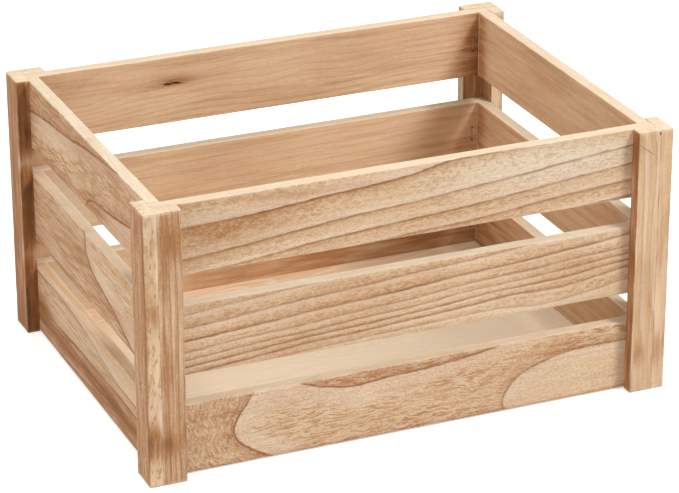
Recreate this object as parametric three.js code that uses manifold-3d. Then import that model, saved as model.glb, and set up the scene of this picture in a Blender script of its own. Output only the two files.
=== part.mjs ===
// A slatted wooden storage crate. Each corner post is glued up from two boards, every side has
// three slats that are stapled to the posts from inside, and a thin floor sits in grooves.
// Millimetres, +Z up. +X runs along the long side and -Y faces the front.
// The origin is on the ground under the middle of the crate.

import * as THREE from 'three';
import { mergeVertices } from 'three/addons/utils/BufferGeometryUtils.js';
import Module from 'manifold-3d';

// Overall size, measured over the posts
const crateLength = 400;
const crateDepth = 300;

// Slats
const slatRows = ['bottom', 'middle', 'top'];
const slatHeight = 53;
const slatGap = 22; // open height between two slats
const slatThickness = 9.5;
const footClearance = 1; // from the ground up to the bottom slats

// Corner posts: a board on the crate's short side runs out to the corner, and a second board
// on its long side is glued against it
const postThickness = 9.5;
const longSideBearing = 8.2; // width of post board that backs a slat, short of the corner
const shortSideBearing = 6.7;

// Floor panel, held in a groove round the bottom slats
const panelThickness = 4;
const panelPlay = 0.5; // from the panel's edge to the bottom of its groove
const grooveDepth = 5;
const grooveLip = 3; // wood left below the groove

// Staples of square wire
const stapleWire = 1.2;
const stapleCrown = 11.5; // outside width over both legs
const stapleBend = 1; // outside radius where a leg leaves the crown
const stapleSink = 0.4; // from the slat's face down to the crown
const stapleCover = 2.5; // wood left between a leg's point and the post's outside

// Fits and edges
const jointGap = 0.3; // clearance at every joint
const cutOver = 1; // how far a cut runs past the face that it opens
const edgeRadius = 1; // rounding of the boards' long edges
const endEase = 0.6; // easing of the sawn ends
const easeLimit = 0.8; // the most of the edges' rounding that the easing takes up
const edgeSteps = 2;
const bendSteps = 3;

// Places that follow from the sizes
const rowPitch = slatHeight + slatGap;
const crateHeight = footClearance + slatRows.length * slatHeight + (slatRows.length - 1) * slatGap;
const wallDepth = postThickness + jointGap + slatThickness;
const insideLength = crateLength - 2 * wallDepth;
const insideDepth = crateDepth - 2 * wallDepth;
const stapleLeg = wallDepth - stapleSink - stapleCover;
const panelBottom = footClearance + grooveLip + jointGap;
const panelReach = grooveDepth - panelPlay;

// Half of each wall, measured along the wall from its middle.
// The long walls' slats and post boards stop at the short walls' post boards.
const longWall = {
  outside: crateDepth / 2,
  slatEnd: crateLength / 2 - postThickness - jointGap,
  postOuter: crateLength / 2 - postThickness - jointGap,
  postInner: insideLength / 2 - longSideBearing,
  stapleAt: (insideLength - longSideBearing) / 2,
};
// The short walls' slats stop at the long walls' slats, and their post boards reach the corner.
const shortWall = {
  outside: crateLength / 2,
  slatEnd: insideDepth / 2 - jointGap,
  postOuter: crateDepth / 2,
  postInner: insideDepth / 2 - shortSideBearing,
  stapleAt: (insideDepth - shortSideBearing) / 2,
};
// Each wall is built as the front one and turned into place. The corners are at its -X and +X ends.
const walls = [
  { name: 'front', turn: 0, plan: longWall, corners: ['front_left', 'front_right'] },
  { name: 'right', turn: Math.PI / 2, plan: shortWall, corners: ['front_right', 'back_right'] },
  { name: 'back', turn: Math.PI, plan: longWall, corners: ['back_right', 'back_left'] },
  { name: 'left', turn: -Math.PI / 2, plan: shortWall, corners: ['back_left', 'front_left'] },
];

// Finishes
const slatColour = '#d3a87d';
const postColour = '#cb9d70';
const panelColour = '#ecd6b6';
const stapleColour = '#8d867c';

const wood = (color) => new THREE.MeshStandardMaterial({ color, roughness: 0.65, metalness: 0 });
const steel = (color) => new THREE.MeshStandardMaterial({ color, roughness: 0.4, metalness: 0.9 });

const xAxis = new THREE.Vector3(1, 0, 0);
const yAxis = new THREE.Vector3(0, 1, 0);
const zAxis = new THREE.Vector3(0, 0, 1);

const wasm = await Module();
wasm.setup();

function toSolid(geometry) {
  geometry.deleteAttribute('normal');
  geometry.deleteAttribute('uv');
  const { attributes, index } = mergeVertices(geometry);
  return new wasm.Manifold(new wasm.Mesh({
    numProp: 3,
    vertProperties: new Float32Array(attributes.position.array),
    triVerts: new Uint32Array(index.array),
  }));
}

function toGeometry(solid) {
  const { vertProperties, triVerts } = solid.getMesh();
  const geometry = new THREE.BufferGeometry();
  geometry.setAttribute('position', new THREE.BufferAttribute(vertProperties, 3));
  geometry.setIndex(new THREE.BufferAttribute(triVerts, 1));
  geometry.computeVertexNormals();
  return geometry;
}

function addMesh(group, name, geometry, material, x, y, z) {
  const mesh = new THREE.Mesh(geometry, material);
  mesh.name = name;
  mesh.position.set(x, y, z);
  group.add(mesh);
}

// A board with rounded long edges and eased ends, centred on the origin, its grain along Z
function easedBoard(width, thickness, length) {
  const radius = Math.min(edgeRadius, width / 3, thickness / 3);
  const ease = Math.min(endEase, easeLimit * radius);
  const right = width / 2 - radius;
  const top = thickness / 2 - radius;
  const section = new THREE.Shape();
  section.absarc(right, top, radius, 0, Math.PI / 2);
  section.absarc(-right, top, radius, Math.PI / 2, Math.PI);
  section.absarc(-right, -top, radius, Math.PI, 1.5 * Math.PI);
  section.absarc(right, -top, radius, 1.5 * Math.PI, 2 * Math.PI);
  const board = new THREE.ExtrudeGeometry(section, {
    depth: length - 2 * ease,
    curveSegments: edgeSteps,
    bevelSegments: 1,
    bevelThickness: ease,
    bevelSize: ease,
    bevelOffset: -ease,
  });
  return board.translate(0, 0, ease - length / 2);
}

// A board laid down with its grain along X: what was its width lies along Y
function layAlongX(board) {
  return board.applyMatrix4(new THREE.Matrix4().makeBasis(yAxis, zAxis, xAxis));
}

// Wire bent to an outline whose x goes up and whose y goes outwards, along -Y
function bentWire(outline, width) {
  const wire = new THREE.ExtrudeGeometry(outline, {
    depth: width,
    bevelEnabled: false,
    curveSegments: bendSteps,
  });
  const outwards = yAxis.clone().negate();
  return wire.translate(0, 0, -width / 2).applyMatrix4(new THREE.Matrix4().makeBasis(zAxis, outwards, xAxis));
}

// A staple with chisel points: the origin is in the middle of its crown's top face
function stapleGeometry() {
  const half = stapleCrown / 2;
  const inside = half - stapleWire;
  const heel = stapleLeg - stapleWire;
  const outline = new THREE.Shape();
  outline.absarc(stapleBend - half, stapleBend, stapleBend, Math.PI, 1.5 * Math.PI);
  outline.absarc(half - stapleBend, stapleBend, stapleBend, 1.5 * Math.PI, 2 * Math.PI);
  outline.lineTo(half, stapleLeg);
  outline.lineTo(inside, heel);
  outline.lineTo(inside, stapleWire);
  outline.lineTo(-inside, stapleWire);
  outline.lineTo(-inside, heel);
  outline.lineTo(-half, stapleLeg);
  return bentWire(outline, stapleWire);
}

// The slot that a staple sits in, open above its crown, in the staple's own frame
function stapleSlot() {
  const half = stapleCrown / 2 + jointGap;
  const inside = half - stapleWire - 2 * jointGap;
  const mouth = -stapleSink - cutOver;
  const shoulder = stapleWire + jointGap;
  const bottom = stapleLeg + jointGap;
  const outline = new THREE.Shape();
  outline.moveTo(-half, mouth);
  outline.lineTo(half, mouth);
  outline.lineTo(half, bottom);
  outline.lineTo(inside, bottom);
  outline.lineTo(inside, shoulder);
  outline.lineTo(-inside, shoulder);
  outline.lineTo(-inside, bottom);
  outline.lineTo(-half, bottom);
  return toSolid(bentWire(outline, stapleWire + 2 * jointGap));
}

// The groove that the floor panel sits in, in a bottom slat's own frame
function panelGroove(length) {
  const depth = grooveDepth + cutOver;
  const height = panelThickness + 2 * jointGap;
  const groove = new THREE.BoxGeometry(length + 2 * cutOver, depth, height);
  const middleY = slatThickness / 2 - grooveDepth + depth / 2;
  const middleZ = grooveLip + height / 2 - slatHeight / 2;
  return toSolid(groove.translate(0, middleY, middleZ));
}

const slot = stapleSlot();
const ends = [-1, 1];
const rowHeight = (row) => footClearance + slatHeight / 2 + row * rowPitch;

// A slat, its inside face towards +Y, with a staple slot near each end
function slatGeometry(plan, row) {
  const length = 2 * plan.slatEnd;
  let solid = toSolid(layAlongX(easedBoard(slatThickness, slatHeight, length)));
  const crown = slatThickness / 2 - stapleSink;
  for (const end of ends) {
    solid = solid.subtract(slot.translate([end * plan.stapleAt, crown, 0]));
  }
  if (row === 0) solid = solid.subtract(panelGroove(length));
  return toGeometry(solid);
}

// A post board, its inside face towards +Y, with the blind ends of the staple slots in it
function postGeometry(plan, end) {
  const width = plan.postOuter - plan.postInner;
  const middle = (plan.postOuter + plan.postInner) / 2;
  let solid = toSolid(easedBoard(width, postThickness, crateHeight));
  const along = end * (plan.stapleAt - middle);
  const crown = wallDepth - postThickness / 2 - stapleSink;
  for (const row of slatRows.keys()) {
    solid = solid.subtract(slot.translate([along, crown, rowHeight(row) - crateHeight / 2]));
  }
  return toGeometry(solid);
}

function wall({ name, turn, plan, corners }) {
  const group = new THREE.Group();
  const slatY = postThickness + jointGap + slatThickness / 2 - plan.outside;
  const crownY = wallDepth - stapleSink - plan.outside;
  slatRows.forEach((rowName, row) => {
    const height = rowHeight(row);
    addMesh(group, `${name}_slat_${rowName}`, slatGeometry(plan, row), wood(slatColour), 0, slatY, height);
    ends.forEach((end, i) => {
      const staple = `${name}_${rowName}_staple_${corners[i]}`;
      addMesh(group, staple, stapleGeometry(), steel(stapleColour), end * plan.stapleAt, crownY, height);
    });
  });
  ends.forEach((end, i) => {
    const post = `${corners[i]}_post_${name}_board`;
    const along = end * (plan.postOuter + plan.postInner) / 2;
    const out = postThickness / 2 - plan.outside;
    addMesh(group, post, postGeometry(plan, end), wood(postColour), along, out, crateHeight / 2);
  });
  group.rotation.z = turn;
  return group;
}

function floorPanel(group) {
  const length = insideLength + 2 * panelReach;
  const depth = insideDepth + 2 * panelReach;
  const panel = layAlongX(easedBoard(depth, panelThickness, length));
  addMesh(group, 'floor_panel', panel, wood(panelColour), 0, 0, panelBottom + panelThickness / 2);
}

const crate = new THREE.Group();
crate.name = 'wooden_crate';
for (const side of walls) crate.add(wall(side));
floorPanel(crate);

export default crate;
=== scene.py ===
"""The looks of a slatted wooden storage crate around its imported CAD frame. Metres, +Z up, -Y in front."""

import math
import random

import bmesh
import bpy
import numpy as np
from mathutils import Matrix, Vector


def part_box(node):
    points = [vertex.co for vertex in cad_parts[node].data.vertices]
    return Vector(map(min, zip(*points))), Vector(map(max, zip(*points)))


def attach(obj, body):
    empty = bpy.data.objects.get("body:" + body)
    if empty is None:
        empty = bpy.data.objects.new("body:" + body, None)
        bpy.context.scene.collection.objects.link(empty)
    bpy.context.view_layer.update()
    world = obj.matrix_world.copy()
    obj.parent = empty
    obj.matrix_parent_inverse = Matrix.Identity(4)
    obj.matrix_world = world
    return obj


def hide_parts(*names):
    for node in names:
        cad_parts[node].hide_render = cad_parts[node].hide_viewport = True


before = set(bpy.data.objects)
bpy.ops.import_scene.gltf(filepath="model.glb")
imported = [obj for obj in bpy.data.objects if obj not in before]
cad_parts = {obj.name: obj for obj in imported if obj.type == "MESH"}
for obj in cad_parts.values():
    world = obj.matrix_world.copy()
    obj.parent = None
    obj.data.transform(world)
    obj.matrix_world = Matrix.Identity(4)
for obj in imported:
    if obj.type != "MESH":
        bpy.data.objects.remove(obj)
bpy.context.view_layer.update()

MM = 0.001

# Camera, fitted to the corners of the crate in the photograph
CAMERA_PLACE = Vector((-0.81423, -1.91976, 0.99765))
CAMERA_AZIMUTH = math.radians(-23.133)
CAMERA_ELEVATION = math.radians(23.588)
CAMERA_ROLL = math.radians(-0.146)
CAMERA_LENS = 162.65
SENSOR_WIDTH = 36.0

# Stage and light: each lamp has a place, a size, a power and a colour
FLOOR_HALF = 8.0
FLOOR_DROP = 0.2 * MM
FLOOR_WHITE = 0.9
FLOOR_GLOW = 0.5
WORLD_LIGHT = 0.22
LAMP_AIM = Vector((0, 0, 0.1))
LAMPS = {
    "key": (Vector((1.25, -1.55, 2.1)), 0.6, 52.0, (1.0, 0.99, 0.97)),
    "fill": (Vector((-2.2, -0.5, 0.8)), 1.4, 20.0, (1.0, 0.93, 0.84)),
    "top": (Vector((-0.1, 0.0, 2.3)), 1.6, 32.0, (1.0, 0.99, 0.97)),
}

# Walls: the direction along each one, seen from outside from left to right, the direction
# out of the crate, and the corners at its left and right ends
UP = Vector((0, 0, 1))
WALLS = {
    "front": (Vector((1, 0, 0)), Vector((0, -1, 0)), ("front_left", "front_right")),
    "right": (Vector((0, 1, 0)), Vector((1, 0, 0)), ("front_right", "back_right")),
    "back": (Vector((-1, 0, 0)), Vector((0, 1, 0)), ("back_right", "back_left")),
    "left": (Vector((0, -1, 0)), Vector((-1, 0, 0)), ("back_left", "front_left")),
}
ROWS = ("bottom", "middle", "top")

# The face of each post board that is glued to the other one of its post, by the numbers of section_points
GLUED_EDGES = (3, 1)
GLUED_FACES = (2, 2)

# Board shape. An arris's radius wanders by a share of itself, in waves of so many millimetres a radian
ARRIS_RADIUS = {"slat_wood": 0.8 * MM, "post_wood": 0.6 * MM, "floor_panel": 0.6 * MM}
SEAM_RADIUS = 0.05 * MM
SEAM_PLAY = 0.02 * MM
ARRIS_WANDER = 0.3
ARRIS_WAVES = 3
ARRIS_WAVE = (15, 60)
ARRIS_START = (0, 6.28)
ARRIS_STEPS = 4
END_EASE = 0.35 * MM
END_STEP = 0.3 * END_EASE
SECTION_STEP = 2.5 * MM
FACE_STEP = 3.0 * MM
FACE_SUPPORT = 0.5 * MM
UNEVEN = 0.12 * MM
UNEVEN_FINENESS = 2.5
NICK_SPACING = 90 * MM
NICK_SPAN = (-0.48, 0.48)
NICK_LENGTH = (1.5 * MM, 5.0 * MM)
NICK_DEPTH = (0.2 * MM, 0.9 * MM)
SHARP_ANGLE = math.radians(40)

# Staples and the cuts that they and the floor panel sit in. The bend and the point are shares of the wire
CUT_PLAY = 0.03 * MM
CUT_OVER = 1.0 * MM
WIRE_ROUND = 0.25
WIRE_BEND = 0.8
WIRE_POINT = 0.08
BEND_STEPS = 4
WIRE_SIDES = 12
LEG_STAIN = 1.2 * MM
LEG_STAIN_SHARE = 0.7

# Colours, in sRGB. The wood is lighter inside, where it wasn't flamed
STEEL = "#cfae88"
TARNISH = "#b08a60"
# The palest colour is the floor's own paleness and also painted light on faces that lie in shade
PALEST_AND_PAINTED_LIGHT = "#fff4dc"
CREAM = "#e4d9c2"
PALE = "#e9d3bd"
TAN = "#dcc09c"
INSIDE = "#eed1af"
BROWN = "#a16c3d"
DARK = "#7d4c28"
# The darkest colour is of knots, stains and soot, and also painted shade where the tint runs past 2
SOOT_AND_SHADE = "#3f2412"

# Grain: how much of the figure shows inside, on the narrow faces and on the sawn ends
INSIDE_SHARE = 0.26
NARROW_SHARE = {"slat_wood": 0.1, "post_wood": 1.0, "floor_panel": 0.1}
END_SHARE = 0.3

# Grain sizes on the vertices, in millimetres
RIPPLE_WIDTH = 1.15
STRAIGHT_OVER = 3.0
FACE_BLEND = 0.6
WEAR_REACH = 1.5
WIDEST_RING = 400
SLOPE_STEP = 0.5

# Rings of a board with no lines of its own: the pith's place across and behind it, the rings' width and
# lean, and the darkness of their lines and brown wood. They wander by a share of a ring, in waves of so
# many millimetres along and across the grain.
PITH_ACROSS = (50, 140)
PITH_BEHIND = (20, 60)
RING_WIDTH = (6, 10)
RING_LEAN = (-0.05, 0.05)
RING_WANDER = 0.3
RING_COUNT = 200
LINE_DARKNESS = (0.25, 0.9)
BROWN_DEPTH = (0.15, 0.6)
WANDER_WAVES = 6
WANDER_ALONG = (70, 260)
WANDER_ACROSS = (25, 70)

# Rings through drawn lines: their slant into the board, and the squeeze and ease of the plate that
# makes them. TINY keeps the logarithm of no distance finite.
RING_SLANT = 0.8
PLATE_SQUEEZE = np.array([0.35, 1.0])
PLATE_EASE = 0.5
TINY = 1e-9

# Ring lines and the wood beside them. Reaches are in metres, and shares are of a ring's width
FRAY_REACH = 1.3 * MM
EARLY_REACH = 22 * MM
EARLY_SHARE = 0.5
EARLY_CORE = 0.3
LATE_REACH = 9 * MM
LATE_SHARE = 0.6
LATE_POWER = 1.4
LINE_REACH = 0.8 * MM
LINE_SPREAD = 0.9 * MM
LINE_LEAN = 2.2

# Noise in the wood: waves a metre along the grain and across it, a shift that sets it apart, and detail
NOISE = {
    "fray": (110, 600, 0.0, 2.0),
    "breaks": (28, 60, 11.0, 2.0),
    "sway": (75, 75, 71.0, 2.0),
    "zones": (18, 40, 17.0, 2.0),
    "scorch": (26, 260, 61.0, 2.0),
    "speck": (520, 900, 23.0, 1.0),
    "streak": (15, 330, 41.0, 2.0),
    "fibre": (22, 900, 31.0, 2.0),
    "flame": (9, 22, 7.0, 2.0),
    "fleck": (170, 430, 53.0, 2.0),
    "pores": (70, 1300, 3.0, 1.0),
    "worn": (60, 60, 5.0, 2.0),
}
RIPPLE_ACROSS = 190.0
RIPPLE_DETAIL = 1.0
RIPPLE_ROUGHNESS = 0.6

# Fades: the level of noise, brown wood, tint or distance where a thing is whole, and where it is gone
LEVELS = {
    "breaks": (0.60, 0.34),
    "busy": (0.3, 0.0),
    "zones": (0.66, 0.34),
    "dash": (0.60, 0.48),
    "glint": (0.40, 0.54),
    "clean": (0.5, 1.6),
    "streak": (0.62, 0.50),
    "flame": (0.68, 0.40),
    "fleck": (0.68, 0.58),
    "pores": (0.38, 0.26),
    "worn": (0.62, 0.42),
    "mark": (0.3, 1.3),
    "tarnish": (0.65, 0.40),
}

# Amounts between two levels: the step from the first to the second, and the first
SPANS = {
    "breaks": (0.45, 0.5),
    "calm": (-0.75, 1.0),
    "busy": (0.9, 0.1),
    "zones": (0.5, 0.5),
    "scorch": (2.4, -1.2),
    "clean": (0.7, 0.3),
}

# Tint: 0 is plain wood, 1 brown and -1 cream; past 1 it turns darker, past 2 darkest, and below -1 palest
# Past 2 the tint is soot and also painted shade in the most shaded places; below -1 it is the floor's own
# paleness and also painted light on faces in shade
DARK_FROM = 1.0
SOOT_AND_SHADE_FROM = 2.0
PALEST_AND_PAINTED_LIGHT_FROM = -1.0

# How strongly each layer colours the wood, roughens it and raises it
SHARE = {
    "early": 0.8, "streak": 0.2, "brown": 0.9, "dash": 0.5, "glint": 0.3, "speck": 1.6, "fibre": 0.5,
    "fleck": 0.6, "pores": 0.22, "worn": 0.4,
}
ROUGHER = {"brown": -0.10, "pores": 0.15, "worn": 0.1}
RAISED = {"pores": -0.8, "line": 0.5, "dash": -0.5}

# Surfaces: roughness, gloss, the strength and depth of the bump, and the tarnish, in waves a metre
WOOD_ROUGHNESS = 0.62
WOOD_SPECULAR = 0.2
WOOD_BUMP = (0.35, 0.15 * MM)
STEEL_ROUGHNESS = 0.5
STEEL_METALLIC = 0.3
STEEL_BUMP = (0.2, 0.05 * MM)
TARNISH_WAVES = 700.0
TARNISH_DETAIL = 3.0
TARNISH_ROUGHNESS = 0.2

# Seeds of random draws: the first wall's, the steps to the next wall and to a wall's posts, and the floor's
WALL_SEED = 11
WALL_SEED_STEP = 20
POST_SEED = 5
FLOOR_SEED = 97


def linear(code):
    """The linear colour of an sRGB code such as #ff8800, with an alpha of 1."""
    parts = [int(code[i:i + 2], 16) / 255 for i in (1, 3, 5)]
    return tuple(c / 12.92 if c <= 0.04045 else ((c + 0.055) / 1.055) ** 2.4 for c in parts) + (1.0,)


# Grain lines that show in the photograph. Each one has its ring's number, the darkness of the line, the
# depth of the brown wood before it, and points in millimetres from the middle of the slat's face,
# to the right and up as seen from outside. A darkness of 0 only guides the rings.
FRONT_TOP = (
    (3, 1.0, 0.7, ((-168, 8), (-100, 11.5), (-60, 15), (0, 19.8), (30, 25.5))),
    (2, 0.75, 0.4, ((-165, -14.5), (-120, -11), (-80, -7), (0, -1), (80, 5.5), (165, 14))),
    (1, 0.8, 0.4, ((-165, -26.5), (-80, -19), (0, -13.5), (80, -7.8), (165, 0))),
    (0, 0.7, 0.3, ((10, -23.5), (40, -22.5), (100, -16.8), (165, -12))),
)
FRONT_MIDDLE = (
    (-1, 0.35, 0.2, ((-165, 19), (-120, 22.5), (-60, 26.5))),
    (0, 0.5, 0.3, ((-168, 8.5), (-80, 15), (0, 20), (100, 26.5))),
    (1, 0.85, 0.6, ((-168, -1), (-80, 4.5), (0, 8.8), (80, 13.5), (165, 20))),
    (2, 0.4, 0.25, ((-165, -9.5), (-80, -4.5), (0, 0), (100, 6.5), (165, 10.5))),
    (3, 0.55, 0.35, ((-165, -15), (-80, -10.5), (0, -6), (80, -0.5), (165, 5))),
    (4, 0.75, 0.4, ((-168, -20.5), (-80, -14), (0, -10.5), (80, -5.5), (165, 0))),
    (5, 0.75, 0.6, ((-165, -25.5), (-80, -19), (0, -15.5), (80, -10.5), (165, -5.5))),
    (6, 0.35, 0.1, ((100, -22.5), (165, -15.5))),
)
FRONT_BOTTOM = (
    (0.1, 0.0, 0.5, ((-186, 0),)),
    (0.55, 0.0, 0.6, ((-155, 0),)),
    (1, 0.9, 1.0, ((-118, 26), (-121, 22.5), (-125, 16.5), (-130, 10), (-133, 3.5), (-134, -2.5),
                   (-132, -7.5), (-128, -12), (-122, -16.5), (-115, -21.5), (-108, -24.5))),
    (1, 0.9, 1.0, ((-84, 26), (-72, 21.5), (-60, 18.5), (-40, 15.7), (-20, 18), (20, 19.5), (72, 26.5))),
    (2, 0.75, 0.6, ((74, -22.5), (78, -9.5), (90, 1), (120, 10.3), (160, 12))),
    (2.08, 0.0, 0.0, ((170, -22),)),
)
LEFT_TOP = (
    (1, 0.95, 0.9, ((-120, 3.5), (-80, 9), (-40, 12.5), (0, 18.5), (60, 24.5))),
    (2, 0.85, 0.7, ((0, -27), (5, -20.5), (15, -16.5), (30, -14.5), (60, -11.5), (90, -6.5))),
)
LEFT_MIDDLE = (
    (0, 0.5, 0.3, ((-118, -21.5), (-80, -25.5))),
    (1, 1.0, 0.9, ((-5, 25.5), (-1, 9.5), (12, 1), (30, -4), (50, -9.5), (70, -16.5))),
)
LEFT_BOTTOM = (
    (0, 0.4, 0.5, ((-110, -24), (0, -21), (110, -19))),
    (1, 0.8, 0.9, ((-110, -4), (-60, -2.5), (20, -0.5), (60, 0.5), (115, 1))),
    (2, 0.45, 0.2, ((-60, 24), (0, 18.5), (25, 13.5), (60, 8.5), (115, 7))),
    (2.6, 0.0, 0.0, ((60, 25), (115, 25))),
)
BACK_TOP = (
    (0, 0.6, 0.3, ((178, 20), (140, 17.5), (112, 25))),
    (1, 0.7, 0.4, ((165, -3), (140, -2.5), (100, 7), (60, 10), (0, 16), (-85, 13.5), (-160, 17))),
    (2, 0.6, 0.4, ((110, 0.5), (75, 4.5), (45, 6), (-5, 7.5), (-50, 10))),
    (3, 0.6, 0.3, ((110, -5.5), (80, -4.5), (45, 2.5), (-60, 2.5), (-140, 5.5))),
    (4, 0.6, 0.3, ((0, -6), (-40, -1), (-90, -1.5), (-140, 0.5))),
    (5, 0.8, 0.4, ((150, -17.5), (95, -12.5), (65, -9.5), (-20, -10), (-80, -9.5), (-105, -4.5))),
    (6, 0.9, 0.5, ((-40, -16), (-75, -14.5), (-140, -9))),
)

# Each board's grain and marks. Rings have a pith across and behind the board and a width, in millimetres,
# and a wander as a share of a ring. A patch is browner, or paler if negative: its middle, its reach along
# and across, and its amount. WHOLE_FACE is the middle and reach of a patch over all of a face. A mark is a
# small dark spot: its middle, its half length and width, its turn and its strength. The face that lines
# and patches are on is 1 outside, -1 inside and 0 for both. Narrow is the tint of the narrow faces.
WHOLE_FACE = (0, 0, 2000, 400)
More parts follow.
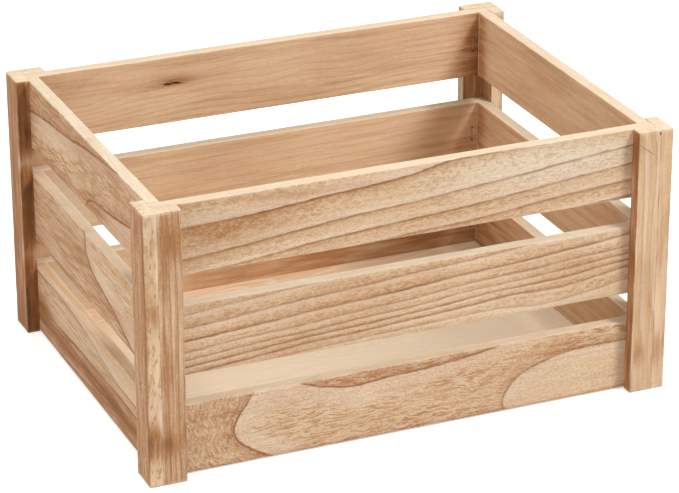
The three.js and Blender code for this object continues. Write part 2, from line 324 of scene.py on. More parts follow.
# A dark line along a bottom slat's lower arris: painted shade where the slat meets the floor
SLAT_LOWER_EDGE = (0, -25.8, 400, 1.2, 0.9)
LOOKS = {
    "front_slat_top": dict(
        lines=FRONT_TOP, face=1,
        patches=((-130, 0, 45, 9, 0.6), (-70, 19, 70, 4, 0.4), (-150, 16, 30, 4, -0.4),
                 (105, 11, 80, 15, -1.2), (150, 20, 20, 4, 0.25)),
    ),
    # Its pale top face, set by the narrow tint, is a painted highlight
    "front_slat_middle": dict(
        lines=FRONT_MIDDLE, face=1, narrow=-1.25,
        patches=((-10, 14, 45, 5, 0.15), (150, 23, 35, 6, -0.35), (110, -22, 70, 7, -0.35),
                 (125, 5, 40, 14, 0.35)),
    ),
    "front_slat_bottom": dict(
        lines=FRONT_BOTTOM, face=1, straight=-126, ripple=1.6, dashes=90, sway=7.0, speckle=1.0,
        tone=-0.05,
        patches=((-139, 12, 8, 12, 0.55), (-138, -8, 8, 9, 0.3), (-160, 14, 14, 7, 0.35),
                 (-158, 0, 18, 26, 0.35), (-116, 2, 12, 16, -0.3), (-45, 24, 36, 4, 0.6),
                 (15, 25, 45, 3, 0.5), (130, 17, 28, 5, 0.5), (125, -10, 45, 14, -0.3),
                 SLAT_LOWER_EDGE),
    ),
    # The top and middle left slats' patch at -128, by the back left post, is painted shade in the corner
    "left_slat_top": dict(
        lines=LEFT_TOP, face=1, straight=-1000, line=1.45, ripple=1.6, dashes=80, speckle=0.6,
        tone=0.3, narrow=-1.1,
        patches=((-70, 21, 60, 5, 0.7), (70, 14, 30, 10, 0.5), (-60, -24, 70, 6, 0.9),
                 (25, -20, 25, 5, 0.5), (-60, -6, 50, 9, -0.4), (-128, 0, 18, 40, 0.4)),
    ),
    "left_slat_middle": dict(
        lines=LEFT_MIDDLE, face=1, straight=-1000, line=1.25, ripple=1.6, dashes=45, speckle=0.5,
        tone=0.25, narrow=-0.7,
        patches=((-20, 6, 28, 14, 0.65), (-80, 2, 30, 16, 0.15), (50, 10, 45, 12, -0.7),
                 (45, -12, 30, 5, 0.55), (-60, -25, 70, 4, 0.9), (-128, 0, 18, 40, 0.3)),
    ),
    "left_slat_bottom": dict(
        lines=LEFT_BOTTOM, face=1, straight=-1000, line=1.25, ripple=1.5, dashes=40, speckle=0.5,
        tone=0.25, narrow=-0.1,
        patches=((0, -12, 170, 6.5, 1.75), (0, -23, 170, 4, 0.4), (0, 14, 170, 8, -0.75),
                 (-112, -5, 22, 12, 1.1), (40, -9, 40, 5, 0.3), SLAT_LOWER_EDGE),
    ),
    # The patches at -186, by the back right corner, are painted shade cast by the right wall
    "back_slat_top": dict(
        lines=BACK_TOP, face=-1, late=0.8,
        patches=((72, 8, 28, 5, 0.35), (76, 6, 16, 3.6, 0.9), (-65, -15, 18, 3, 0.3),
                 (-186, -12, 18, 40, 1.7), (-186, -28, 32, 22, 0.4)),
        marks=((79, 4.8, 3.8, 1.2, 0.05, 0.85), (72, 5.2, 3.4, 1.0, 0.1, 0.9),
               (75, 4.9, 11.0, 0.9, 0.08, 0.7), (75.5, 6.4, 3.0, 0.8, 0.4, 0.4)),
    ),
    # Its browner patch towards the right corner is painted shade, and its paler left end is painted light
    "back_slat_middle": dict(
        rings=dict(rough=0.12), face=-1, line=0.5,
        patches=((-150, -26, 45, 26, 0.5), (160, 0, 32, 40, -1.0)),
    ),
    # Its browner face, darkest towards the right corner, is partly painted shade, and its pale left end is
    # painted light
    "back_slat_bottom": dict(
        rings=dict(rough=0.12), face=-1, line=0.5, tone=0.1,
        patches=((*WHOLE_FACE, 0.45), (-130, 0, 120, 60, 0.2), (-184, 0, 40, 60, 0.1),
                 (110, 0, 35, 60, -1.0), (165, 0, 30, 60, -1.4)),
    ),
    # The patches at the right slats' back ends, by the back right corner, are painted shade
    "right_slat_top": dict(
        rings=dict(rough=0.12), face=-1, line=0.3, tone=0.12, patches=((126, 0, 10, 60, 0.8),),
    ),
    "right_slat_middle": dict(
        rings=dict(rough=0.12), face=-1, line=0.3, tone=0.2, patches=((126, 0, 10, 60, 0.6),),
    ),
    "right_slat_bottom": dict(
        rings=dict(pith=(-90, 30), ring=9, rough=0.25), face=-1, line=1.6, tone=0.1,
        patches=((*WHOLE_FACE, 0.15), (115, 0, 45, 60, 0.6)),
    ),
    "back_right_post_back_board": dict(tone=0.9, narrow=-1.5),
    "back_right_post_right_board": dict(tone=0.9, narrow=-1.5),
    "front_left_post_front_board": dict(
        rings=dict(pith=(160, 8), ring=4.2, rough=0.25), ripple=0.8, dashes=30, speckle=0.5, tone=0.35,
        patches=((78, 2, 14, 6, 0.9), (78, -5, 12, 4, 0.5), (-71, 3, 8, 11, 1.1),
                 (-98, 0, 6, 14, 0.15), (0, 4.6, 115, 2.4, 0.5)),
    ),
    "front_left_post_left_board": dict(
        rings=dict(pith=(-170, 20), ring=6, rough=0.3), line=0.5, late=0.5, ripple=1.2, dashes=30,
        speckle=0.8, flecks=0.8, tone=0.7, narrow=-1.3,
        patches=((88, 1, 14, 6, 0.6), (0, -9, 110, 2.5, 0.7), (-20, -3, 60, 2, 0.3),
                 (-71, -13, 13, 3, 1.8), (0, -11.9, 110, 1.2, 1.2), (30, -13, 14, 2, 0.5),
                 (78, -13, 9, 2, 0.3)),
    ),
    # Its dark narrow face beside the slats is painted shade, and the pale patches on it at the gaps between
    # the slats are painted light
    "back_left_post_left_board": dict(
        rings=dict(pith=(150, 20), ring=7, rough=0.4), line=0.7, late=0.8, ripple=1.2, dashes=25,
        speckle=0.5, tone=1.25, narrow=1.4,
        patches=((0, 4, 110, 3, 0.4), (-60, -4, 50, 4, 0.4), (60, 9, 40, 3, -0.6),
                 (-37, -13, 8, 4, -1.8), (38, -13, 8, 4, -1.8)),
    ),
    "back_left_post_back_board": dict(tone=0.15),
    # Its dark narrow face and the patch at the top of it are partly painted shade
    "front_right_post_front_board": dict(
        rings=dict(pith=(220, 60), ring=8, rough=0.3), line=0.2, late=0.2, ripple=0.4, dashes=30,
        speckle=0.35, tone=0.14, narrow=1.3,
        patches=((-2, 2, 10, 8, 0.25), (-72, 4, 10, 6, 0.85), (40, 0, 40, 9, -0.12),
                 (88, 8.8, 16, 2, 0.7)),
        marks=((88.5, 2.35, 8.9, 0.5, 0.905, 0.4), (99.5, -8.0, 1.4, 0.9, 0.0, 0.8)),
    ),
    "front_right_post_right_board": dict(
        rings=dict(pith=(-150, 30), ring=6, rough=0.3), line=0.25, late=0.3, ripple=0.5, dashes=30,
        speckle=0.4, tone=0.16, narrow=0.0,
        patches=((-68, 13, 10, 4, 0.5), (0, 13, 14, 4, 0.25)),
    ),
    # Its pale tone is partly painted light against the shade inside the crate. The pale patch at its front
    # left is painted light, and the browner patches along its back and at its back left are painted shade
    "floor_panel": dict(
        rings=dict(pith=(700, 300), ring=11, rough=0.8), line=0.02, late=0.05, ripple=0.05, speckle=0.12,
        flame=0.0, tone=-1.1,
        patches=((-60, -35, 120, 70, -0.85), (0, 140, 400, 40, 1.15), (125, -20, 80, 90, -0.15),
                 (-150, 70, 40, 90, 0.4)),
    ),
}

# What holds for a board that says nothing else: the strength of its lines, brown wood, ripples, speckle,
# flecks and flaming, the ripples' waves a metre along it and their sway, the face, the place in
# millimetres from which the ripples run straight, the tint all over, and no patches or marks
PLAIN_LOOK = dict(
    line=1.0, late=1.0, ripple=0.75, dashes=210, sway=2.5, speckle=0.8, flecks=0.0, flame=0.25,
    face=0, straight=1000, tone=0.0, patches=(), marks=(),
)

# Tints of the narrow faces, of a slat's lower one and of the sawn ends. A slat's paler top face, here and
# in the looks, is partly a painted highlight, and its darker lower face is painted shade
PLAIN_NARROW = {"slat_wood": -0.8, "post_wood": 0.2, "floor_panel": -0.1}
SLAT_UNDERSIDE = 0.5
END_TINT = -0.5


def look_of(node, slot):
    """A board's own look over the plain one."""
    return PLAIN_LOOK | dict(narrow=PLAIN_NARROW[slot]) | LOOKS.get(node, {})


# Rings: functions that give the number of growth rings at points of a board in millimetres,
# x along the grain, y across it and z out of the face

def wander(rng, size):
    """A smooth random field of about this size, long along the grain."""
    waves = []
    for _ in range(WANDER_WAVES):
        stretch = (rng.uniform(*WANDER_ALONG), rng.uniform(*WANDER_ACROSS), rng.uniform(*WANDER_ACROSS))
        turn = 2 * math.pi * np.array([rng.choice((-1, 1)) / s for s in stretch])
        waves.append((turn, rng.uniform(0, 2 * math.pi)))
    return lambda p: size * sum(np.sin(p @ turn + shift) for turn, shift in waves) / (WANDER_WAVES / 2)


def log_rings(rng, pith, ring, lean, rough):
    """Rings round a pith that lies across and behind the board, leaning along it."""
    drift = wander(rng, rough)
    start = rng.uniform(0, 1)

    def field(p):
        across = p[:, 1] - pith[0] - lean * p[:, 0]
        return np.hypot(across, p[:, 2] + pith[1]) / ring + drift(p) + start

    return field


def drawn_rings(lines, level):
    """Rings whose lines run through given points of the face at this level: a thin plate through them."""
    spots = np.array([spot for line in lines for spot in line[3]], float) * PLATE_SQUEEZE
    numbers = np.array([line[0] for line in lines for _ in line[3]], float)

    def bend(a, b):
        gap = ((a[:, None] - b[None]) ** 2).sum(2)
        return gap * np.log(gap + TINY)

    def flat(a):
        return np.hstack([np.ones((len(a), 1)), a])

    count = len(spots)
    system = np.zeros((count + 3, count + 3))
    system[:count, :count] = bend(spots, spots) + PLATE_EASE * np.eye(count)
    system[:count, count:] = flat(spots)
    system[count:, :count] = flat(spots).T
    weights = np.linalg.solve(system, np.append(numbers, np.zeros(3)))

    def field(p):
        at = np.stack([p[:, 0], p[:, 1] + RING_SLANT * (p[:, 2] - level)], 1) * PLATE_SQUEEZE
        return bend(at, spots) @ weights[:count] + flat(at) @ weights[count:]

    return field


def board_grain(look, thickness, rng):
    """A board's rings, and the numbers of some rings with the darkness of their lines and brown wood."""
    if "lines" in look:
        lines = sorted(look["lines"], key=lambda line: line[0])
        numbers, dark, brown = zip(*(line[:3] for line in lines))
        return drawn_rings(lines, look["face"] * thickness / 2), numbers, dark, brown
    plain = dict(
        pith=(rng.choice((-1, 1)) * rng.uniform(*PITH_ACROSS), rng.uniform(*PITH_BEHIND)),
        ring=rng.uniform(*RING_WIDTH),
        lean=rng.uniform(*RING_LEAN),
        rough=RING_WANDER,
    )
    numbers = range(RING_COUNT)
    dark = [rng.uniform(*LINE_DARKNESS) for _ in numbers]
    brown = [rng.uniform(*BROWN_DEPTH) for _ in numbers]
    return log_rings(rng, **(plain | look.get("rings", {}))), numbers, dark, brown


# Boards

def section_points(width, thickness, radii, insets):
    """The outline of a board across its grain, with a rounding of its own at each corner.

    The insets are for its faces at +z, -y, -z and +y. Each corner lies before the face of its number.
    """
    high, left, low, right = (d / 2 - i for d, i in zip((thickness, width) * 2, insets))
    corners = ((right, high), (-left, high), (-left, -low), (right, -low))
    spans = (width, thickness, width, thickness)
    arcs = []
    for k, (y, z) in enumerate(corners):
        radius = radii[k]
        middle = (y - math.copysign(radius, y), z - math.copysign(radius, z))
        angles = [(k + step / ARRIS_STEPS) * math.pi / 2 for step in range(ARRIS_STEPS + 1)]
        arcs.append([(middle[0] + radius * math.cos(a), middle[1] + radius * math.sin(a)) for a in angles])
    outline = []
    for k, arc in enumerate(arcs):
        outline += arc
        start, goal = arc[-1], arcs[(k + 1) % 4][0]
        pieces = max(2, round(spans[k] / FACE_STEP))
        support = FACE_SUPPORT / spans[k]
        for share in [support] + [i / pieces for i in range(1, pieces)] + [1 - support]:
            outline.append(tuple(a + share * (b - a) for a, b in zip(start, goal)))
    return outline


def board_mesh(name, size, arris, rng, glued=None):
    """A sawn board along X with wandering arrises, a few nicks and eased ends. A glued face stays sharp."""
    seams = () if glued is None else (glued, (glued + 1) % 4)
    length, width, thickness = size
    inner = length - 2 * END_EASE
    count = max(4, round(inner / SECTION_STEP))
    places = [(-length / 2, END_EASE), (-length / 2 + END_STEP, END_STEP)]
    places += [(-inner / 2 + i * inner / count, 0.0) for i in range(count + 1)]
    places += [(length / 2 - END_STEP, END_STEP), (length / 2, END_EASE)]
    waves = []
    for _ in range(4):
        wave = [(rng.uniform(*ARRIS_WAVE) * MM, rng.uniform(*ARRIS_START)) for _ in range(ARRIS_WAVES)]
        waves.append(wave)
    nicks = []
    for _ in range(max(2, round(length / NICK_SPACING))):
        spot = rng.uniform(*NICK_SPAN) * length
        nicks.append((rng.randrange(4), spot, rng.uniform(*NICK_LENGTH), rng.uniform(*NICK_DEPTH)))
    sections = []
    for x, inset in places:
        radii = []
        for k in range(4):
            swing = sum(math.sin(x / w + p) for w, p in waves[k])
            radius = arris * (1 + ARRIS_WANDER * swing / ARRIS_WAVES)
            radius += sum(d * math.exp(-((x - s) / w) ** 2) for c, s, w, d in nicks if c == k)
            radii.append(SEAM_RADIUS if k in seams else min(radius, thickness / 3))
        insets = [0.0 if k == glued else inset for k in range(4)]
        sections.append([(x, y, z) for y, z in section_points(width, thickness, radii, insets)])
    points = np.array(sections)
    rows, columns = points.shape[:2]
    points = points.reshape(-1, 3)
    dip = 0.5 + 0.5 * np.clip(wander(rng, 1.0)(points / MM * UNEVEN_FINENESS), -1, 1)
    sides = points * np.array([0, 1, 1])
    points -= UNEVEN * dip[:, None] * sides / np.linalg.norm(sides, axis=1, keepdims=True)
    faces = [tuple(range(columns))[::-1]]
    for r in range(rows - 1):
        for c in range(columns):
            d = (c + 1) % columns
            faces.append((r * columns + c, r * columns + d, (r + 1) * columns + d, (r + 1) * columns + c))
    faces.append(tuple(range((rows - 1) * columns, rows * columns)))
    mesh = bpy.data.meshes.new(name)
    mesh.from_pydata(points.tolist(), [], faces)
    mesh.validate()
    return mesh


def link(name, mesh, matrix=Matrix.Identity(4)):
    piece = bpy.data.objects.new(name, mesh)
    bpy.context.scene.collection.objects.link(piece)
    piece.matrix_world = matrix
    return piece


def placed(node, along, across, out, against=None):
    """A board's place, as a matrix with X along its grain and Z out of the crate, and its size.

    A board that is pulled tight against another one inside it reaches up to it.
    """
    low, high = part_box(node)
    size = [abs((high - low).dot(axis)) for axis in (along, across, out)]
    middle = (low + high) / 2
    if against:
        low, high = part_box(against)
        reach = middle.dot(out) - size[2] / 2 - max(low.dot(out), high.dot(out)) - SEAM_PLAY
        size[2] += reach
        middle -= out * reach / 2
    turn = Matrix((along, across, out)).transposed()
    return Matrix.Translation(middle) @ turn.to_4x4(), size


def prism(bm, outline, matrix, depth):
    """An outline in X and Y, pushed out along Z by half the depth to each side."""
    loops = []
    for z in (-depth / 2, depth / 2):
        loops.append([bm.verts.new(matrix @ Vector((x, y, z))) for x, y in outline])
    bm.faces.new(loops[0][::-1])
    bm.faces.new(loops[1])
    for i in range(len(outline)):
        j = (i + 1) % len(outline)
        bm.faces.new((loops[0][i], loops[0][j], loops[1][j], loops[1][i]))


def staple_place(node, wall):
    """A staple's place and size. X goes up its crown, Y into the wood, and the origin is on the crown."""
    along, out, _ = WALLS[wall]
    low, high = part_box(node)
    leg = abs((high - low).dot(out))
    wire = abs((high - low).dot(along))
    turn = Matrix((UP, out, UP.cross(out))).transposed()
    top = (low + high) / 2 - out * leg / 2
    return Matrix.Translation(top) @ turn.to_4x4(), (high - low).z, wire, leg


def cut(piece, staples, wall, groove=False):
    """Cuts the staples' slots and the floor panel's groove out of a board."""
    bm = bmesh.new()
    for node in staples:
        matrix, crown, wire, leg = staple_place(node, wall)
        half = crown / 2 + CUT_PLAY
        inside = half - wire - 2 * CUT_PLAY
        shoulder = wire + CUT_PLAY
        bottom = leg + CUT_PLAY
        outline = [(-half, -CUT_OVER), (half, -CUT_OVER), (half, bottom), (inside, bottom)]
        outline += [(inside, shoulder), (-inside, shoulder), (-inside, bottom), (-half, bottom)]
        prism(bm, outline, matrix, wire + 2 * CUT_PLAY)
    if groove:
        low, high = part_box("floor_panel")
        x, y = (high - low).x / 2 + CUT_PLAY, (high - low).y / 2 + CUT_PLAY
        centre = Matrix.Translation((low + high) / 2)
        prism(bm, [(-x, -y), (x, -y), (x, y), (-x, y)], centre, (high - low).z + 2 * CUT_PLAY)
    bmesh.ops.recalc_face_normals(bm, faces=bm.faces)
    mesh = bpy.data.meshes.new("cutter")
    bm.to_mesh(mesh)
    bm.free()
    cutter = link("cutter", mesh)
    modifier = piece.modifiers.new("cut", "BOOLEAN")
    modifier.operation = "DIFFERENCE"
    modifier.solver = "MANIFOLD"
    modifier.object = cutter
    bpy.context.view_layer.update()
    done = bpy.data.meshes.new_from_object(piece.evaluated_get(bpy.context.evaluated_depsgraph_get()))
    piece.modifiers.clear()
    old = piece.data
    piece.data = done
    done.name = piece.name
    bpy.data.meshes.remove(old)
    bpy.data.objects.remove(cutter)
    bpy.data.meshes.remove(mesh)


def mark_grain(piece, size, look, slot, rng):
    """Stores on each vertex its place among the rings, their strength there, and the wood's tint, which
    also holds painted shade and painted light.
    """
    mesh = piece.data
    points = np.empty(len(mesh.vertices) * 3)
    mesh.vertices.foreach_get("co", points)
    points = points.reshape(-1, 3) / MM
    half = np.array(size) / MM / 2
    field, numbers, dark, brown = board_grain(look, 2 * half[2], rng)
    ring = field(points)
    steps = SLOPE_STEP * np.eye(3)
    slopes = [(field(points + step) - field(points - step)) / (2 * SLOPE_STEP) for step in steps]
    width = 1 / np.maximum(np.sqrt(sum(s * s for s in slopes)), 1 / WIDEST_RING)
    gap = half - np.abs(points)
    outside = 0.5 + 0.5 * np.clip(points[:, 2] / half[2], -1, 1)
    narrow = np.clip(1 - gap[:, 1] / FACE_BLEND, 0, 1)
    wide = 1 - narrow * (1 - NARROW_SHARE[slot])
    facing = np.clip(1 + look["face"] * points[:, 2] / half[2], 0, 1)
    tint = np.full(len(points), look["tone"])
    for x, y, reach_x, reach_y, amount in look["patches"]:
        spread = ((points[:, 0] - x) / reach_x) ** 2 + ((points[:, 1] - y) / reach_y) ** 2
        tint += amount * facing * np.exp(-spread)
    # A slat's top face takes its narrow tint, partly a painted highlight, and its lower face the darker
    # SLAT_UNDERSIDE, which is painted shade
    under = SLAT_UNDERSIDE if slot == "slat_wood" else look["narrow"]
    tint = tint * wide + np.where(points[:, 1] > 0, look["narrow"], under) * narrow
    end = np.clip(1 - gap[:, 0] / FACE_BLEND, 0, 1)
    tint += (END_TINT - tint) * end
    share = (INSIDE_SHARE + (1 - INSIDE_SHARE) * outside) * wide
    straight = np.clip((points[:, 0] - look["straight"]) / STRAIGHT_OVER, 0, 1)
    with_rings = ring * np.median(width)
    values = {
        "ring": ring,
        "ring_width": width * MM,
        "flow": (with_rings + straight * (points[:, 1] - with_rings)) / RIPPLE_WIDTH,
        "line": np.interp(ring, numbers, dark),
        "late": np.interp(ring, numbers, brown),
        "figure": share * (1 - end * (1 - END_SHARE)),
        "outside": outside,
        "tint": tint,
        "edge": np.clip(1 - np.sort(gap, axis=1)[:, 1] / WEAR_REACH, 0, 1),
    }
    for name, amounts in values.items():
        layer = mesh.attributes.new(name, "FLOAT", "POINT")
        layer.data.foreach_set("value", amounts.astype(np.float32))
    mesh.shade_smooth()
    mesh.set_sharp_from_angle(angle=SHARP_ANGLE)


# Materials. A Mix node's sockets for a share and two colours, and for what they make, go by number

MIX_INPUTS = (0, 6, 7)
MIX_OUTPUT = 2


class Graph:
    """A node tree with short calls for the nodes that the materials use."""

    def __init__(self, tree):
        self.tree = tree

    def put(self, socket, value):
        if isinstance(value, bpy.types.NodeSocket):
            self.tree.links.new(value, socket)
        else:
            socket.default_value = value

    def add(self, kind, **settings):
        node = self.tree.nodes.new(kind)
        for name, value in settings.items():
            setattr(node, name, value)
        return node

    def math(self, operation, *values, clamp=False):
        node = self.add("ShaderNodeMath", operation=operation, use_clamp=clamp)
        for socket, value in zip(node.inputs, values):
            self.put(socket, value)
        return node.outputs[0]

    def product(self, first, *others):
        for value in others:
            first = self.math("MULTIPLY", first, value)
        return first

    def fade(self, value, start, end):
        """1 at start, 0 at end and beyond."""
        node = self.add("ShaderNodeMapRange", interpolation_type="SMOOTHSTEP")
        for socket, number in zip(node.inputs, (value, start, end, 1.0, 0.0)):
            self.put(socket, number)
        return node.outputs[0]

    def mix(self, share, a, b):
        """Colour a where the share is 0, and b where it is 1."""
        node = self.add("ShaderNodeMix", data_type="RGBA")
        for i, value in zip(MIX_INPUTS, (share, a, b)):
            self.put(node.inputs[i], value)
        return node.outputs[MIX_OUTPUT]

    def vector(self, x, y, z):
        node = self.add("ShaderNodeCombineXYZ")
        for socket, value in zip(node.inputs, (x, y, z)):
            self.put(socket, value)
        return node.outputs[0]

    def noise(self, x, y, z, detail, roughness=0.5):
        node = self.add("ShaderNodeTexNoise")
        self.put(node.inputs["Vector"], self.vector(x, y, z))
        node.inputs["Scale"].default_value = 1.0
        node.inputs["Detail"].default_value = detail
        node.inputs["Roughness"].default_value = roughness
        return node.outputs["Fac"]

    def attribute(self, name):
        return self.add("ShaderNodeAttribute", attribute_name=name).outputs["Fac"]

    def place(self):
        """The object's own coordinates, in metres."""
        node = self.add("ShaderNodeSeparateXYZ")
        self.put(node.inputs[0], self.add("ShaderNodeTexCoord").outputs["Object"])
        return node.outputs

    def mark(self, x, y, length, width, turn=0.0):
        """A long round spot: 1 in its middle, 0 outside."""
        c, s = math.cos(turn), math.sin(turn)
        along = self.math("ADD", self.product(x, c / length), self.product(y, s / length))
        across = self.math("ADD", self.product(x, -s / width), self.product(y, c / width))
        reach = self.math("ADD", self.math("POWER", along, 2.0), self.math("POWER", across, 2.0))
        return self.fade(reach, *LEVELS["mark"])


WOOD_INPUTS = ("line", "late", "ripple", "dashes", "sway", "speckle", "flecks", "flame")


def wood_group():
    """The wood of every board: ring lines, brown wood before them, ripples, pores, and charred patches,
    with the painted shade and painted light that the tint also holds.
    """
    tree = bpy.data.node_groups.new("wood", "ShaderNodeTree")
    sockets = tree.interface
    for name in ("seed",) + WOOD_INPUTS:
        sockets.new_socket(name=name, in_out="INPUT", socket_type="NodeSocketFloat")
    sockets.new_socket(name="colour", in_out="OUTPUT", socket_type="NodeSocketColor")
    for name in ("roughness", "height"):
        sockets.new_socket(name=name, in_out="OUTPUT", socket_type="NodeSocketFloat")
    g = Graph(tree)
    given = g.add("NodeGroupInput").outputs
    result = g.add("NodeGroupOutput").inputs
    x, y, z = g.place()

    def noise(name):
        along, across, shift, detail = NOISE[name]
        start = g.math("MULTIPLY_ADD", x, along, g.math("ADD", given["seed"], shift))
        return g.noise(start, g.product(y, across), g.product(z, across), detail)

    def swing(name):
        """Noise round 0 instead of round a half."""
        return g.math("SUBTRACT", noise(name), 0.5)

    def spots(name):
        return g.fade(noise(name), *LEVELS[name])

    def span(name, amount):
        return g.math("MULTIPLY_ADD", amount, *SPANS[name])

    # Rings: metres since the last line and until the next one
    figure = g.attribute("figure")
    width = g.attribute("ring_width")
    fray = g.product(swing("fray"), FRAY_REACH)
    ring = g.math("ADD", g.attribute("ring"), g.math("DIVIDE", fray, width))
    since = g.product(g.math("FRACT", ring), width)
    until = g.math("SUBTRACT", width, since)
    early_reach = g.math("MINIMUM", g.product(width, EARLY_SHARE), EARLY_REACH)
    early = g.fade(since, g.product(early_reach, EARLY_CORE), early_reach)
    late_reach = g.math("MINIMUM", g.product(width, LATE_SHARE), LATE_REACH)
    late = g.math("POWER", g.fade(until, 0.0, late_reach), LATE_POWER)
    late = g.product(late, g.attribute("late"), figure, given["late"])
    line_reach = g.math("MULTIPLY_ADD", figure, LINE_SPREAD, LINE_REACH)
    line = g.fade(g.math("MINIMUM", until, g.product(since, LINE_LEAN)), 0.0, line_reach)
    line = g.product(line, g.attribute("line"), figure, given["line"], span("breaks", spots("breaks")))

    # Charred and pale places, which also hold painted shade and painted light, and how clean the wood is
    # between them
    tint = g.attribute("tint")
    scorch = span("scorch", noise("scorch"))
    tint = g.math("MULTIPLY_ADD", g.math("MAXIMUM", tint, 0.0), scorch, tint)
    clean = span("clean", g.fade(tint, *LEVELS["clean"]))
    burnt_and_shaded = g.math("MAXIMUM", tint, 0.0)
    brown = g.math("ADD", g.math("MULTIPLY_ADD", spots("flame"), given["flame"], burnt_and_shaded), late, clamp=True)

    # Ripples that run with the rings, weak in the early wood and where no ring is brown
    flow = g.math("MULTIPLY_ADD", noise("sway"), given["sway"], g.attribute("flow"))
    along = g.math("MULTIPLY_ADD", x, given["dashes"], given["seed"])
    ripple = g.noise(along, g.product(y, RIPPLE_ACROSS), flow, RIPPLE_DETAIL, RIPPLE_ROUGHNESS)
    calm = span("calm", early)
    busy = span("busy", g.fade(g.attribute("late"), *LEVELS["busy"]))
    strength = g.product(calm, busy, span("zones", spots("zones")), figure, given["ripple"])
    dash = g.product(g.fade(ripple, *LEVELS["dash"]), strength)
    glint = g.product(g.fade(ripple, *LEVELS["glint"]), strength, clean)

    # Speckle, pores and wear on the edges
    speck = g.product(swing("speck"), figure, given["speckle"])
    fibre = swing("fibre")
    pores = spots("pores")
    worn = g.product(g.attribute("edge"), spots("worn"))

    # Colours from the first layer to the last
    layers = [
        (g.product(spots("streak"), SHARE["streak"]), BROWN),
        (g.product(brown, SHARE["brown"]), BROWN),
        (g.math("SUBTRACT", tint, DARK_FROM, clamp=True), DARK),
        (g.math("SUBTRACT", tint, SOOT_AND_SHADE_FROM, clamp=True), SOOT_AND_SHADE),
        (g.math("MULTIPLY", tint, -1.0, clamp=True), CREAM),
        (g.math("SUBTRACT", PALEST_AND_PAINTED_LIGHT_FROM, tint, clamp=True), PALEST_AND_PAINTED_LIGHT),
        (g.math("MULTIPLY", dash, SHARE["dash"], clamp=True), BROWN),
        (g.math("MULTIPLY", glint, SHARE["glint"], clamp=True), PALE),
    ]
    for grit, share, light in ((speck, SHARE["speck"], CREAM), (fibre, SHARE["fibre"], PALE)):
        pale = g.math("MULTIPLY", grit, -share, clamp=True)
        layers.append((g.math("MULTIPLY", grit, share, clamp=True), BROWN))
        layers.append((g.product(pale, clean), light))
    layers += [
        (line, DARK),
        (g.product(spots("fleck"), given["flecks"], SHARE["fleck"]), DARK),
        (g.product(pores, SHARE["pores"]), BROWN),
        (g.product(worn, clean, SHARE["worn"]), CREAM),
    ]
    colour = g.mix(g.product(early, SHARE["early"]), linear(TAN), linear(PALE))
    colour = g.mix(g.attribute("outside"), linear(INSIDE), colour)
    for amount, shade in layers:
        colour = g.mix(amount, colour, linear(shade))
    g.put(result["colour"], colour)

    amounts = dict(brown=brown, pores=pores, worn=worn, line=line, dash=dash)
    rough = WOOD_ROUGHNESS
    for name, change in ROUGHER.items():
        rough = g.math("MULTIPLY_ADD", amounts[name], change, rough)
    g.put(result["roughness"], rough)
    height = 0.0
    for name, rise in RAISED.items():
        height = g.math("MULTIPLY_ADD", amounts[name], rise, height)
    g.put(result["height"], height)
    return tree


WOOD = wood_group()


def new_material(name):
    material = bpy.data.materials.new(name)
    material.use_nodes = True
    tree = material.node_tree
    return material, Graph(tree), tree.nodes["Principled BSDF"]


def add_bump(g, shader, height, strength, distance):
    bump = g.add("ShaderNodeBump")
    bump.inputs["Strength"].default_value = strength
    bump.inputs["Distance"].default_value = distance
    g.put(bump.inputs["Height"], height)
    g.put(shader.inputs["Normal"], bump.outputs[0])


def wood_material(node, seed, look, stains):
    """A board's wood, with its dark marks and, on a slat, stains where the staples' legs go in."""
    material, g, shader = new_material(node)
    grain = g.add("ShaderNodeGroup", node_tree=WOOD)
    grain.inputs["seed"].default_value = seed
    for name in WOOD_INPUTS:
        grain.inputs[name].default_value = look[name]
    colour = grain.outputs["colour"]
    x, y, _ = g.place()
    for mark_x, mark_y, length, width, turn, strength in look["marks"]:
        at = [g.math("SUBTRACT", value, middle * MM) for value, middle in ((x, mark_x), (y, mark_y))]
        share = g.mark(*at, length * MM, width * MM, turn)
        colour = g.mix(g.product(share, strength), colour, linear(SOOT_AND_SHADE))
    if stains:
        legs = zip((x, y), stains)
        at = [g.math("SUBTRACT", g.math("ABSOLUTE", value), middle) for value, middle in legs]
        share = g.mark(*at, LEG_STAIN, LEG_STAIN)
        colour = g.mix(g.product(share, LEG_STAIN_SHARE), colour, linear(SOOT_AND_SHADE))
    g.put(shader.inputs["Base Color"], colour)
    g.put(shader.inputs["Roughness"], grain.outputs["roughness"])
    add_bump(g, shader, grain.outputs["height"], *WOOD_BUMP)
    shader.inputs["Specular IOR Level"].default_value = WOOD_SPECULAR
    return material


def steel_material():
    """Dull plated wire with darker tarnish."""
    material, g, shader = new_material("staple_steel")
    x, y, z = (g.product(value, TARNISH_WAVES) for value in g.place())
    tarnish = g.fade(g.noise(x, y, z, TARNISH_DETAIL), *LEVELS["tarnish"])
    g.put(shader.inputs["Base Color"], g.mix(tarnish, linear(STEEL), linear(TARNISH)))
    g.put(shader.inputs["Roughness"], g.math("MULTIPLY_ADD", tarnish, TARNISH_ROUGHNESS, STEEL_ROUGHNESS))
    add_bump(g, shader, tarnish, *STEEL_BUMP)
    shader.inputs["Metallic"].default_value = STEEL_METALLIC
    return material


def finish_piece(piece, node, material):
    piece.data.materials.clear()
    piece.data.materials.append(material)
    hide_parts(node)
    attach(piece, "root")


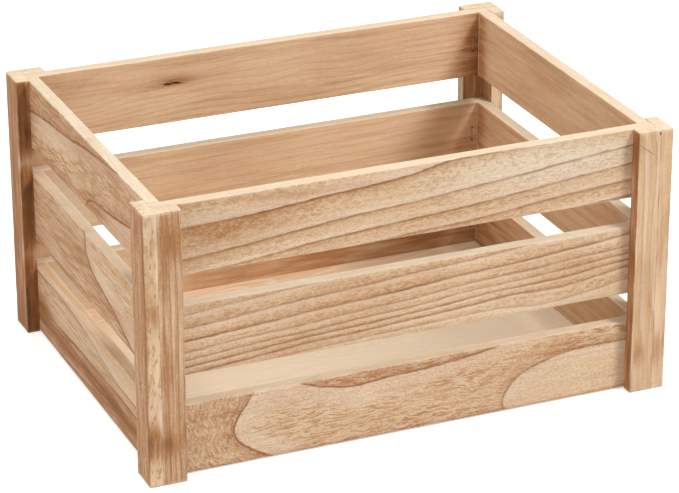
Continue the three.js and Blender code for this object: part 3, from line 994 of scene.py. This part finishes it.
def make_board(node, seed, axes, slot, staples=(), wall=None, groove=False, glued=None, against=None):
    rng = random.Random(seed)
    matrix, size = placed(node, *axes, against)
    piece = link(f"{node}_wood", board_mesh(f"{node}_wood", size, ARRIS_RADIUS[slot], rng, glued), matrix)
    stains = None
    if staples:
        cut(piece, staples, wall, groove)
    if slot == "slat_wood":
        place, crown, wire, _ = staple_place(staples[0], wall)
        stains = (abs((matrix.inverted() @ place.translation).x), (crown - wire) / 2)
    look = look_of(node, slot)
    mark_grain(piece, size, look, slot, rng)
    finish_piece(piece, node, wood_material(node, seed, look, stains))


def make_wall(wall, seed):
    """Three slats and two post boards. Those of the front and back are glued by an edge to the sides'."""
    along, out, corners = WALLS[wall]
    glued = GLUED_EDGES if wall in ("front", "back") else GLUED_FACES
    for i, row in enumerate(ROWS):
        staples = [f"{wall}_{row}_staple_{corner}" for corner in corners]
        node = f"{wall}_slat_{row}"
        make_board(node, seed + i, (along, UP, out), "slat_wood", staples, wall, groove=(row == "bottom"))
    for i, corner in enumerate(corners):
        staples = [f"{wall}_{row}_staple_{corner}" for row in ROWS]
        make_board(
            f"{corner}_post_{wall}_board", seed + POST_SEED + i, (UP, -along, out), "post_wood", staples,
            wall, glued=glued[i], against=f"{wall}_slat_bottom")


def staple_mesh(crown, wire, leg):
    """Wire of rounded square section, bent to a staple with chisel points."""
    half = (crown - wire) / 2
    bend = wire * WIRE_BEND
    path = [(-half, leg, WIRE_POINT), (-half, leg - wire, 1.0)]
    for side in (-1, 1):
        for step in range(BEND_STEPS + 1):
            angle = step / BEND_STEPS * math.pi / 2
            if side > 0:
                angle = math.pi / 2 - angle
            x = side * (half - bend + bend * math.cos(angle))
            path.append((x, wire / 2 + bend - bend * math.sin(angle), 1.0))
    path += [(half, leg - wire, 1.0), (half, leg, WIRE_POINT)]
    spots = [Vector((x, y)) for x, y, _ in path]
    rows = []
    for i, (x, y, share) in enumerate(path):
        ahead = spots[min(i + 1, len(path) - 1)] - spots[max(i - 1, 0)]
        side = Vector((-ahead.y, ahead.x)).normalized()
        row = []
        for k in range(WIRE_SIDES):
            angle = 2 * math.pi * (k + 0.5) / WIRE_SIDES
            c, s = math.cos(angle), math.sin(angle)
            reach = wire / 2 / max(abs(c), abs(s)) ** (1 - WIRE_ROUND)
            across = side * c * reach * share
            row.append((x + across.x, y + across.y, s * reach))
        rows.append(row)
    points = [point for row in rows for point in row]
    faces = [tuple(range(WIRE_SIDES))[::-1]]
    for r in range(len(rows) - 1):
        for k in range(WIRE_SIDES):
            j = (k + 1) % WIRE_SIDES
            first = r * WIRE_SIDES
            faces.append((first + k, first + j, first + WIRE_SIDES + j, first + WIRE_SIDES + k))
    faces.append(tuple(range((len(rows) - 1) * WIRE_SIDES, len(rows) * WIRE_SIDES)))
    mesh = bpy.data.meshes.new("staple")
    mesh.from_pydata(points, [], faces)
    bm = bmesh.new()
    bm.from_mesh(mesh)
    bmesh.ops.recalc_face_normals(bm, faces=bm.faces)
    bm.to_mesh(mesh)
    bm.free()
    mesh.shade_smooth()
    mesh.set_sharp_from_angle(angle=SHARP_ANGLE)
    return mesh


def make_staples():
    material = steel_material()
    mesh = None
    for wall, (_, _, corners) in WALLS.items():
        for row in ROWS:
            for corner in corners:
                node = f"{wall}_{row}_staple_{corner}"
                matrix, crown, wire, leg = staple_place(node, wall)
                if mesh is None:
                    mesh = staple_mesh(crown, wire, leg)
                finish_piece(link(f"{node}_wire", mesh, matrix), node, material)


# Stage, light and camera

def seen_ray(g):
    """1 for a ray that shows the background: seen straight, in gloss or through glass."""
    ray = g.add("ShaderNodeLightPath").outputs
    bent = g.math("MAXIMUM", ray["Is Glossy Ray"], ray["Is Transmission Ray"])
    return g.math("MAXIMUM", ray["Is Camera Ray"], bent)


def make_stage():
    bm = bmesh.new()
    corners = [(-1, -1), (1, -1), (1, 1), (-1, 1)]
    bm.faces.new([bm.verts.new((FLOOR_HALF * x, FLOOR_HALF * y, -FLOOR_DROP)) for x, y in corners])
    mesh = bpy.data.meshes.new("floor")
    bm.to_mesh(mesh)
    bm.free()
    floor = link("floor", mesh)
    material, g, shader = new_material("floor")
    shader.inputs["Base Color"].default_value = (FLOOR_WHITE, FLOOR_WHITE, FLOOR_WHITE, 1)
    shader.inputs["Roughness"].default_value = 1.0
    shader.inputs["Specular IOR Level"].default_value = 0.0
    shader.inputs["Emission Color"].default_value = (1, 1, 1, 1)
    g.put(shader.inputs["Emission Strength"], g.math("MULTIPLY", seen_ray(g), FLOOR_GLOW))
    mesh.materials.append(material)


def make_light():
    world = bpy.data.worlds.new("world")
    world.use_nodes = True
    bpy.context.scene.world = world
    g = Graph(world.node_tree)
    back = world.node_tree.nodes["Background"]
    back.inputs["Color"].default_value = (1, 1, 1, 1)
    g.put(back.inputs["Strength"], g.math("MULTIPLY_ADD", seen_ray(g), 1 - WORLD_LIGHT, WORLD_LIGHT))
    for name, (place, size, power, colour) in LAMPS.items():
        lamp = bpy.data.lights.new(name, "AREA")
        lamp.energy = power
        lamp.size = size
        lamp.color = colour
        holder = bpy.data.objects.new(name, lamp)
        bpy.context.scene.collection.objects.link(holder)
        holder.location = place
        holder.rotation_euler = (LAMP_AIM - place).to_track_quat("-Z", "Y").to_euler()


def make_camera():
    lens = bpy.data.cameras.new("camera")
    lens.sensor_fit = "HORIZONTAL"
    lens.sensor_width = SENSOR_WIDTH
    lens.lens = CAMERA_LENS
    camera = bpy.data.objects.new("camera", lens)
    bpy.context.scene.collection.objects.link(camera)
    tilt = math.pi / 2 - CAMERA_ELEVATION
    turn = Matrix.Rotation(CAMERA_AZIMUTH, 4, "Z") @ Matrix.Rotation(tilt, 4, "X")
    camera.matrix_world = Matrix.Translation(CAMERA_PLACE) @ turn @ Matrix.Rotation(CAMERA_ROLL, 4, "Z")
    bpy.context.scene.camera = camera


make_camera()
make_stage()
make_light()
for i, wall in enumerate(WALLS):
    make_wall(wall, WALL_SEED + WALL_SEED_STEP * i)
make_board("floor_panel", FLOOR_SEED, (Vector((1, 0, 0)), Vector((0, 1, 0)), UP), "floor_panel")
make_staples()

bpy.context.scene.view_settings.view_transform = "Standard"
bpy.context.view_layer.update()
